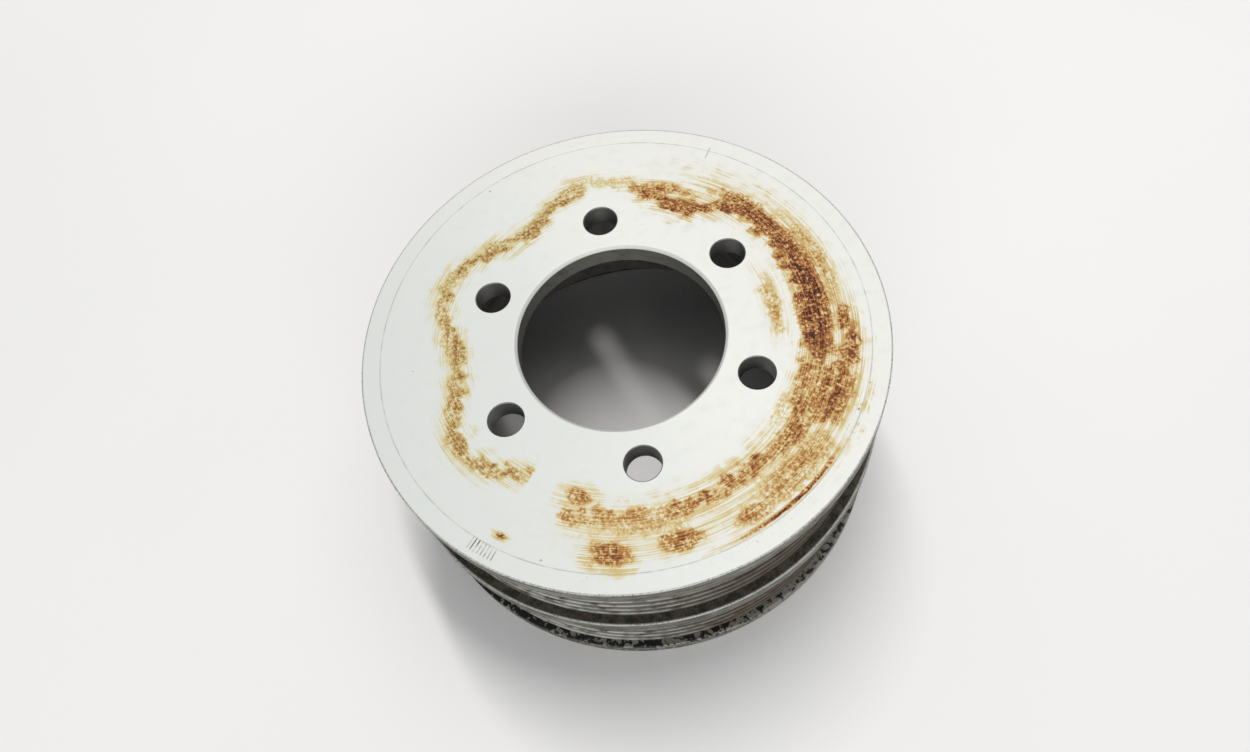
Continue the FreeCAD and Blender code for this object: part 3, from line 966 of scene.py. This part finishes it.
@dataclass(frozen=True)
class Row:
    """One ring of points of a small round part, in millimetres; it may be a hexagon."""

    radius: float
    height: float
    hexagon: bool = False

    def points(self, sides: int) -> list[Spot]:
        """The ring's points; a hexagon's corners are at multiples of 60 degrees.

        Args:
            sides: how many points.

        Returns:
            Each point, in metres.
        """
        spots = []
        for side in range(sides):
            turn = 2 * math.pi * side / sides
            radius = self.radius
            if self.hexagon:
                radius *= math.cos(math.pi / 6) / math.cos(turn % (math.pi / 3) - math.pi / 6)
            spots.append((radius * MM * math.cos(turn), radius * MM * math.sin(turn), self.height * MM))
        return spots


def small_part(name: str, rows: Sequence[Row], sides: int, finish: bpy.types.Material) -> bpy.types.Object:
    """Make a closed small part that stands on the axis.

    Args:
        name: its name.
        rows: its rings from one end to the other.
        sides: how many points each ring has.
        finish: its material.

    Returns:
        The new object.
    """
    shape = bmesh.new()
    rings = [[shape.verts.new(spot) for spot in row.points(sides)] for row in rows]
    for low, high in zip(rings, rings[1:]):
        for side in range(sides):
            after = (side + 1) % sides
            shape.faces.new((low[side], low[after], high[after], high[side]))
    for end in (rings[0], rings[-1]):
        shape.faces.new(end)
    mesh = bpy.data.meshes.new(name)
    mesh.materials.append(finish)
    return finished(name, mesh, shape)


@dataclass(frozen=True)
class Circle:
    """Evenly stepped places on a circle round the axis. Millimetres and degrees."""

    count: int
    radius: float
    first: float
    step: float

    def repeat(self, piece: bpy.types.Object, finish: bpy.types.Material) -> bpy.types.Object:
        """Repeat a small part at every place.

        Args:
            piece: the part, which stands on the axis.
            finish: its material.

        Returns:
            The same object, which now holds all the copies.
        """
        tree = Arrangement("circle_of_" + piece.name, {
            "Count": ("NodeSocketInt", self.count), "Radius": ("NodeSocketFloat", self.radius * MM),
            "First": ("NodeSocketFloat", math.radians(self.first)),
            "Step": ("NodeSocketFloat", math.radians(self.step)), "Finish": ("NodeSocketMaterial", finish)})
        line = tree.node("GeometryNodeMeshLine", {}, {"Count": "Count"})
        index = tree.node("GeometryNodeInputIndex", {}, {})
        turned = tree.node("ShaderNodeMath", {"operation": "MULTIPLY_ADD"},
                           {0: index.outputs[0], 1: "Step", 2: "First"})
        turn = turned.outputs[0]
        across = tree.node("ShaderNodeMath", {"operation": "COSINE"}, {0: turn})
        away = tree.node("ShaderNodeMath", {"operation": "SINE"}, {0: turn})
        unit = tree.node("ShaderNodeCombineXYZ", {}, {"X": across.outputs[0], "Y": away.outputs[0]})
        place = tree.node("ShaderNodeVectorMath", {"operation": "SCALE"},
                          {0: unit.outputs[0], "Scale": "Radius"})
        spots = tree.node("GeometryNodeSetPosition", {},
                          {"Geometry": line.outputs[0], "Position": place.outputs[0]})
        facing = tree.node("ShaderNodeCombineXYZ", {}, {"Z": turn})
        copies = tree.node("GeometryNodeInstanceOnPoints", {}, {
            "Points": spots.outputs[0], "Instance": "Geometry", "Rotation": facing.outputs[0]})
        solid = tree.node("GeometryNodeRealizeInstances", {}, {0: copies.outputs[0]})
        dressed = tree.node("GeometryNodeSetMaterial", {},
                            {"Geometry": solid.outputs[0], "Material": "Finish"})
        return tree.apply(piece, dressed.outputs[0])


def cut_away(piece: bpy.types.Object, tool: bpy.types.Object) -> bpy.types.Object:
    """Cut a tool's shape out of a piece, with the tool's material on the cut, and delete the tool.

    Args:
        piece: the piece to cut.
        tool: the closed shape that is taken away.

    Returns:
        The same piece.
    """
    cut = piece.modifiers.new("cut", "BOOLEAN")
    cut.operation = "DIFFERENCE"
    cut.object = tool
    cut.solver = "EXACT"
    cut.material_mode = "TRANSFER"
    baked(piece)
    bpy.data.objects.remove(tool)
    piece.data.set_sharp_from_angle(angle=SHARP_EDGE)
    return piece


# ---- The clutch's sub-assemblies -----------------------------------------------------------

@dataclass
class Rim:
    """The belt rim and its pressed-on rear flange. Millimetres."""

    lathe: Lathe
    height: float
    edge_radius: float = 67.0
    crest_radius: float = 64.3
    root_radius: float = 61.4
    pitch: float = 3.56
    grooves: int = 6
    groove_edge: float = 2.3
    groove_angle: float = 40.0
    root_rounding: float = 0.5
    front_flange: float = 5.0
    middle_flange: float = 4.9
    rear_flange: float = 4.4
    rear_radius: float = 66.3
    rear_seat: float = 62.6
    mouth_radius: float = 59.3
    mouth_depth: float = 5.0
    rotor_seat: float = 58.6
    bearing_seat: float = 58.0
    shoulder_bore: float = 56.9
    rotor_front: float = 25.1
    bearing_front: float = 6.7
    pocket_radius: float = 62.11
    pocket_depth: float = 3.2
    edge_break: float = 0.4
    crest_rounding: float = 0.22
    root_steps: int = 6

    @property
    def track_width(self) -> float:
        """The width of one belt track."""
        return (self.grooves - 1) * self.pitch + 2 * self.groove_edge

    def _groove(self, depth: float) -> list[Corner]:
        """One belt groove's corners, with its root as an arc.

        Args:
            depth: how far the groove's middle lies under the hub face.

        Returns:
            The corners, from the front down.
        """
        half = math.radians(self.groove_angle / 2)
        foot = self.root_radius + self.root_rounding * (1 - math.sin(half))
        reach = self.root_rounding * math.cos(half)
        mouth = reach + (self.crest_radius - foot) * math.tan(half)
        centre = self.height - depth
        corners = [Corner(self.crest_radius, centre + mouth, Finish.TRACK, self.crest_rounding)]
        arc_end = math.pi / 2 - half
        for step in range(self.root_steps + 1):
            turn = arc_end * (1 - 2 * step / self.root_steps)
            corners.append(Corner(self.root_radius + self.root_rounding * (1 - math.cos(turn)),
                                  centre + self.root_rounding * math.sin(turn), Finish.TRACK))
        corners.append(Corner(self.crest_radius, centre - mouth, Finish.TRACK, self.crest_rounding))
        return corners

    def _track(self, first: float) -> list[Corner]:
        """All the grooves of one belt track.

        Args:
            first: the depth at which the track starts.

        Returns:
            The corners, from the front down.
        """
        corners = [Corner(self.crest_radius, self.height - first, Finish.TRACK)]
        for index in range(self.grooves):
            corners += self._groove(first + self.groove_edge + index * self.pitch)
        corners.append(Corner(self.crest_radius, self.height - first - self.track_width, Finish.FLANGE))
        return corners

    def build(self) -> tuple[bpy.types.Object, bpy.types.Object]:
        """Make both pieces.

        Returns:
            The rim and the rear flange ring.
        """
        second = self.front_flange + self.track_width
        top, edge = self.height, self.edge_radius
        outline = [Corner(self.pocket_radius, top, Finish.FACE),
                   Corner(edge, top, Finish.FLANGE, self.edge_break),
                   Corner(edge, top - self.front_flange, Finish.FLANGE, self.edge_break)]
        outline += self._track(self.front_flange)
        outline += [Corner(edge, top - second, Finish.FLANGE, self.edge_break),
                    Corner(edge, top - second - self.middle_flange, Finish.FLANGE, self.edge_break)]
        outline += self._track(second + self.middle_flange)
        outline += [Corner(self.rear_seat, self.rear_flange, Finish.SKIRT),
                    Corner(self.rear_seat, 0, Finish.FLANGE),
                    Corner(self.mouth_radius, 0, Finish.SKIRT, self.edge_break)]
        inside = (
            (self.mouth_radius, self.mouth_depth),
            (self.rotor_seat, self.mouth_depth + self.mouth_radius - self.rotor_seat),
            (self.rotor_seat, top - self.rotor_front),
            (self.bearing_seat, top - self.rotor_front),
            (self.bearing_seat, top - self.bearing_front),
            (self.shoulder_bore, top - self.bearing_front),
            (self.shoulder_bore, top - self.pocket_depth),
            (self.pocket_radius, top - self.pocket_depth),
        )
        outline += [Corner(radius, height, Finish.SKIRT) for radius, height in inside]
        rim = self.lathe.turn("belt_rim", outline)
        ring = self.lathe.turn("rear_flange", [
            Corner(self.rear_seat, 0, Finish.PAINT), Corner(self.rear_seat, self.rear_flange, Finish.PAINT),
            Corner(self.rear_radius, self.rear_flange, Finish.PAINT, self.edge_break),
            Corner(self.rear_radius, 0, Finish.PAINT, self.edge_break)])
        return rim, ring

    def fit(self) -> None:
        """Put both pieces in the place of their frame nodes."""
        rim, ring = self.build()
        for piece, node, slot in ((rim, "pulley_rim", "worn_rim_steel"),
                                  (ring, "rear_flange_ring", "chipped_black_paint")):
            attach(piece, "pulley")
            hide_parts(node)
            LOG.info("%s: %d faces", piece.name, len(piece.data.polygons))


@dataclass
class Hub:
    """The bolt-on hub with its sleeve. Millimetres."""

    lathe: Lathe
    height: float
    bore_radius: float = 26.5
    bore_chamfer: float = 0.7
    face_radius: float = 62.1
    lip: float = 3.0
    guard_radius: float = 56.6
    plate: float = 6.2
    collar_radius: float = 51.7
    collar: float = 0.5
    sleeve_radius: float = 48.5
    sleeve_bore: float = 46.2
    sleeve_rear: float = 39.4
    fillet: float = 2.0
    ring_sunk: float = 0.8
    ring_slot: float = 1.2
    ring_fronts: tuple[float, ...] = (21.2, 27.45, 37.15)
    bolts: int = 6
    bolt_circle: float = 36.0
    bolt_radius: float = 4.5
    bolt_chamfer: float = 0.25
    first_bolt: float = -90.0
    bore_rounding: float = 0.4
    face_rounding: float = 0.15
    end_rounding: float = 0.25
    drill_past: float = 1.0
    drill_sides: int = 64

    def build(self) -> bpy.types.Object:
        """Make the hub.

        Returns:
            The hub, drilled.
        """
        top = self.height
        outline = [Corner(self.bore_radius, top - self.plate, Finish.BORE, self.bore_rounding),
                   Corner(self.bore_radius, top - self.bore_chamfer, Finish.FACE, self.face_rounding),
                   Corner(self.bore_radius + self.bore_chamfer, top, Finish.FACE, self.face_rounding)]
        steps = [(self.face_radius, 0.0), (self.face_radius, self.lip), (self.guard_radius, self.lip),
                 (self.guard_radius, self.plate), (self.collar_radius, self.plate),
                 (self.collar_radius, self.plate + self.collar),
                 (self.sleeve_radius, self.plate + self.collar)]
        floor = self.sleeve_radius - self.ring_sunk
        for front in self.ring_fronts:
            back = front + self.ring_slot
            steps += [(self.sleeve_radius, front), (floor, front), (floor, back), (self.sleeve_radius, back)]
        outline += [Corner(radius, top - depth, Finish.SLEEVE) for radius, depth in steps]
        outline += [Corner(self.sleeve_radius, top - self.sleeve_rear, Finish.SLEEVE, self.bore_rounding),
                    Corner(self.sleeve_bore, top - self.sleeve_rear, Finish.SLEEVE, self.end_rounding),
                    Corner(self.sleeve_bore, top - self.plate, Finish.SLEEVE, self.fillet)]
        hub = self.lathe.turn("hub", outline)
        wall = self.lathe.finishes.get(Finish.HOLE)
        rows = [Row(self.bolt_radius, top - self.plate - self.drill_past),
                Row(self.bolt_radius, top - self.bolt_chamfer),
                Row(self.bolt_radius + self.bolt_chamfer + self.drill_past, top + self.drill_past)]
        drill = small_part("bolt_drill", rows, self.drill_sides, wall)
        places = Circle(self.bolts, self.bolt_circle, self.first_bolt, 360 / self.bolts)
        return cut_away(hub, places.repeat(drill, wall))

    def fit(self) -> None:
        """Put the hub in the place of its frame node."""
        hub = self.build()
        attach(hub, "hub")
        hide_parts("hub_flange")
        LOG.info("%s: %d faces", hub.name, len(hub.data.polygons))


@dataclass
class Fastenings:
    """The small round parts that repeat: rivets, bracket screws and bearing balls. Millimetres."""

    finishes: Finishes
    height: float
    rivet_circle: float = 52.85
    rivet_radius: float = 0.9
    head_radius: float = 1.6
    rivets: int = 3
    spring_arc: float = 80.0
    carrier_rivet_depths: tuple[float, ...] = (18.8, 19.2, 21.7, 22.2)
    armature_rivet_depths: tuple[float, ...] = (20.7, 21.2, 23.7, 24.45)
    screw_circle: float = 54.2
    screw_middle: float = -60.0
    screw_spread: float = 12.71
    screw_radius: float = 1.5
    screw_head: float = 2.7
    socket_radius: float = 1.25
    screw_depths: tuple[float, ...] = (39.9, 43.7, 45.4)
    socket_depth: float = 1.02
    ball_circle: float = 53.25
    ball_radius: float = 2.1
    balls: int = 32
    row_inset: float = 3.3
    bearing_depths: tuple[float, ...] = (6.7, 18.7)
    dome_steps: int = 5
    dome_tip: float = 0.12
    button_steps: int = 6
    button_flat: float = 0.35
    button_side: float = 0.4
    tip_chamfer: float = 0.2
    seat_chamfer: float = 0.1
    ball_bands: int = 14
    ball_pole: float = 0.02

    def rivet(self, name: str, depths: Sequence[float], sides: int = 32) -> bpy.types.Object:
        """Make one rivet with two domed heads.

        Args:
            name: its name.
            depths: its front end, its shank's two ends and its rear end, under the hub face.
            sides: how many points each ring has.

        Returns:
            The new object.
        """
        front, start, end, rear = (self.height - depth for depth in depths)
        turns = [math.pi / 2 * (self.dome_tip + (1 - self.dome_tip) * step / self.dome_steps)
                 for step in range(self.dome_steps + 1)]
        rows = [Row(self.head_radius * math.sin(turn), start + (front - start) * math.cos(turn))
                for turn in turns]
        rows += [Row(self.rivet_radius, start), Row(self.rivet_radius, end)]
        rows += [Row(self.head_radius * math.sin(turn), end + (rear - end) * math.cos(turn))
                 for turn in reversed(turns)]
        return small_part(name, rows, sides, self.finishes.get(Finish.PLATED))

    def screw(self, sides: int = 48) -> bpy.types.Object:
        """Make one button-head screw with a hexagon socket, head down.

        Args:
            sides: how many points each ring has.

        Returns:
            The new object.
        """
        tip, seat, crown = (self.height - depth for depth in self.screw_depths)
        rows = [Row(self.screw_radius - self.tip_chamfer, tip),
                Row(self.screw_radius, tip - self.tip_chamfer),
                Row(self.screw_radius, seat), Row(self.screw_head - self.seat_chamfer, seat),
                Row(self.screw_head, seat - self.seat_chamfer)]
        flat = self.socket_radius + self.button_flat
        shoulder = seat - self.button_side
        for step in range(1, self.button_steps + 1):
            turn = math.pi / 2 * step / self.button_steps
            rows.append(Row(flat + (self.screw_head - flat) * math.cos(turn),
                            shoulder + (crown - shoulder) * math.sin(turn)))
        rows += [Row(self.socket_radius, crown, True),
                 Row(self.socket_radius, crown + self.socket_depth, True)]
        return small_part("field_bracket_screws", rows, sides, self.finishes.get(Finish.PLATED))

    def ball(self, name: str, depth: float, sides: int = 24) -> bpy.types.Object:
        """Make one ball, with small flats at its poles.

        Args:
            name: its name.
            depth: how far its centre lies under the hub face.
            sides: how many points each ring has.

        Returns:
            The new object.
        """
        centre = self.height - depth
        rows = []
        for band in range(self.ball_bands + 1):
            turn = math.pi * (self.ball_pole + (1 - 2 * self.ball_pole) * band / self.ball_bands)
            rows.append(Row(self.ball_radius * math.sin(turn), centre + self.ball_radius * math.cos(turn)))
        return small_part(name, rows, sides, self.finishes.get(Finish.GROUND))

    def fit(self) -> None:
        """Put every set in the place of its frame node."""
        plated, ground = Finish.PLATED, Finish.GROUND
        third, ball_step = 360 / self.rivets, 360 / self.balls
        front, rear = self.bearing_depths
        screws = Circle(2, self.screw_circle, self.screw_middle - self.screw_spread / 2, self.screw_spread)
        plan = (
            (self.rivet("carrier_rivet_set", self.carrier_rivet_depths), plated,
             Circle(self.rivets, self.rivet_circle, 0.0, third), "carrier_rivets", "hub"),
            (self.rivet("armature_rivet_set", self.armature_rivet_depths), plated,
             Circle(self.rivets, self.rivet_circle, self.spring_arc, third), "armature_rivets", "armature"),
            (self.screw(), plated, screws, "bracket_screws", "field"),
            (self.ball("front_balls", front + self.row_inset), ground,
             Circle(self.balls, self.ball_circle, 0.0, ball_step), "front_ball_row", "ball_cage"),
            (self.ball("rear_balls", rear - self.row_inset), ground,
             Circle(self.balls, self.ball_circle, ball_step / 2, ball_step), "rear_ball_row", "ball_cage"),
        )
        for piece, finish, places, node, body in plan:
            places.repeat(piece, self.finishes.get(finish))
            piece.data.set_sharp_from_angle(angle=SHARP_EDGE)
            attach(piece, body)
            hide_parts(node)
            LOG.info("%s: %d copies", piece.name, places.count)


@dataclass(frozen=True)
class InnerWorks:
    """The frame nodes that keep their own shape and take a better finish."""

    finishes: Finishes
    nodes: dict[str, bpy.types.Object]

    def fit(self) -> None:
        """Dress each node."""
        plan: dict[Finish, Iterable[str]] = {
            Finish.GROUND: ("bearing_inner_ring", "bearing_outer_ring"),
            Finish.RUBBER: ("bearing_front_seal", "bearing_rear_seal"),
            Finish.BRASS: ("bearing_cage", "terminal_blades"),
            Finish.BLUED: ("bearing_circlip", "carrier_retaining_ring", "field_upper_retaining_ring",
                           "field_lower_retaining_ring", "leaf_springs"),
            Finish.BRONZE: ("field_bush", "field_thrust_washer"),
            Finish.PLATED: ("armature_carrier", "torque_bracket"),
            Finish.SCORED: ("armature_disc", "rotor_disc"),
            Finish.LINING: ("friction_ring",),
            Finish.BLACK: ("field_shell",),
            Finish.NYLON: ("coil_bobbin",),
            Finish.PLASTIC: ("terminal_housing",),
            Finish.COPPER: ("coil_winding", "coil_leads"),
            Finish.EPOXY: ("potting_ring",),
        }
        for finish, names in plan.items():
            for name in names:
                self.finishes.dress(self.nodes[name], finish)
            LOG.info("%s: %s", finish.name, ", ".join(names))


# ---- Floor, light and camera ---------------------------------------------------------------

@dataclass(frozen=True)
class Lamp:
    """A soft rectangular lamp. Metres, degrees and watts; unturned, it shines straight down."""

    name: str
    place: Spot
    turn: Spot
    size: tuple[float, float]
    power: float
    colour: tuple[float, float, float]

    def hang(self) -> None:
        """Add it to the scene."""
        light = bpy.data.lights.new(self.name, "AREA")
        light.shape = "RECTANGLE"
        light.size, light.size_y = self.size
        light.energy = self.power
        light.color = self.colour
        lamp = bpy.data.objects.new(self.name, light)
        lamp.location = self.place
        lamp.rotation_euler = [math.radians(angle) for angle in self.turn]
        bpy.context.scene.collection.objects.link(lamp)


@dataclass(frozen=True)
class Studio:
    """A plain pale floor, soft light and the camera."""

    floor_size: float = 8.0
    floor_gap: float = 0.05
    floor_colours: tuple[Colour, Colour] = (paint(243, 241, 240), paint(239, 238, 238))
    floor_roughness: float = 0.75
    sky: Colour = (0.97, 0.985, 1.0, 1.0)
    sky_strength: float = 0.24
    lamps: tuple[Lamp, ...] = (
        Lamp("tube", (0.04, 0.48, 1.5), (0, 0, 20), (0.10, 1.0), 12.0, (1.0, 0.995, 0.98)),
        Lamp("ceiling", (0.45, 0.50, 1.8), (0, 0, 0), (1.5, 1.5), 8.5, (1.0, 0.99, 0.97)),
        Lamp("window", (-0.1, -1.7, 0.9), (62, 0, 0), (2.2, 1.0), 18.0, (0.99, 0.995, 1.0)),
    )
    aim: Spot = (-1.7, -12.0, 59.1)
    distance: float = 240.9
    back_angle: float = -86.75
    elevation: float = 61.43
    roll: float = -13.47
    lens: float = 28.13
    sensor: float = 36.0
    shift: float = 0.0035
    nearest: float = 0.005

    def floor(self) -> None:
        """Lay the floor."""
        graph = Graph("floor")
        tone = graph.noise(0.004, 3.0)
        colour = graph.mix(tone.rise(0.3, 0.7), *self.floor_colours)
        material = graph.finish(colour, self.floor_roughness, 0.0)
        half = self.floor_size / 2
        low = -self.floor_gap * MM
        shape = bmesh.new()
        shape.faces.new([shape.verts.new((x, y, low))
                         for x, y in ((-half, -half), (half, -half), (half, half), (-half, half))])
        mesh = bpy.data.meshes.new("floor")
        shape.to_mesh(mesh)
        shape.free()
        mesh.materials.append(material)
        floor = bpy.data.objects.new("floor", mesh)
        bpy.context.scene.collection.objects.link(floor)

    def light(self) -> None:
        """Hang the lamps and set the surroundings."""
        world = bpy.data.worlds.new("surroundings")
        world.use_nodes = True
        background = world.node_tree.nodes["Background"]
        background.inputs["Color"].default_value = self.sky
        background.inputs["Strength"].default_value = self.sky_strength
        bpy.context.scene.world = world
        for lamp in self.lamps:
            lamp.hang()

    def camera(self) -> None:
        """Place the camera."""
        back, rise, roll = (math.radians(value) for value in (self.back_angle, self.elevation, self.roll))
        level_out = math.cos(rise)
        behind = Vector((math.cos(back) * level_out, math.sin(back) * level_out, math.sin(rise)))
        level = Vector((0, 0, 1)).cross(behind).normalized()
        upward = behind.cross(level)
        right = level * math.cos(roll) + upward * math.sin(roll)
        top = behind.cross(right)
        data = bpy.data.cameras.new("camera")
        data.lens = self.lens
        data.sensor_width = self.sensor
        data.shift_x = self.shift
        data.clip_start = self.nearest
        camera = bpy.data.objects.new("camera", data)
        place = (Vector(self.aim) + behind * self.distance) * MM
        camera.matrix_world = Matrix.Translation(place) @ Matrix((right, top, behind)).transposed().to_4x4()
        bpy.context.scene.collection.objects.link(camera)
        bpy.context.scene.camera = camera

    def build(self) -> None:
        """Make the floor, light and camera."""
        self.floor()
        self.light()
        self.camera()
        bpy.context.scene.view_settings.view_transform = "Standard"


def corners(box: tuple[Vector, Vector]) -> list[list[float]]:
    """A box as plain lists."""
    return [[float(value) for value in corner] for corner in box]


def main() -> None:
    """Build the clutch's looks around its frame."""
    logging.basicConfig(level=logging.INFO, format="%(name)s: %(message)s")
    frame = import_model()
    Studio().build()
    finishes = Finishes()
    lathe = Lathe(finishes)
    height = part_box("pulley_rim")[1].z / MM
    Rim(lathe, height).fit()
    Hub(lathe, height).fit()
    Fastenings(finishes, height).fit()
    InnerWorks(finishes, frame["nodes"]).fit()


if __name__ == "__main__":
    main()
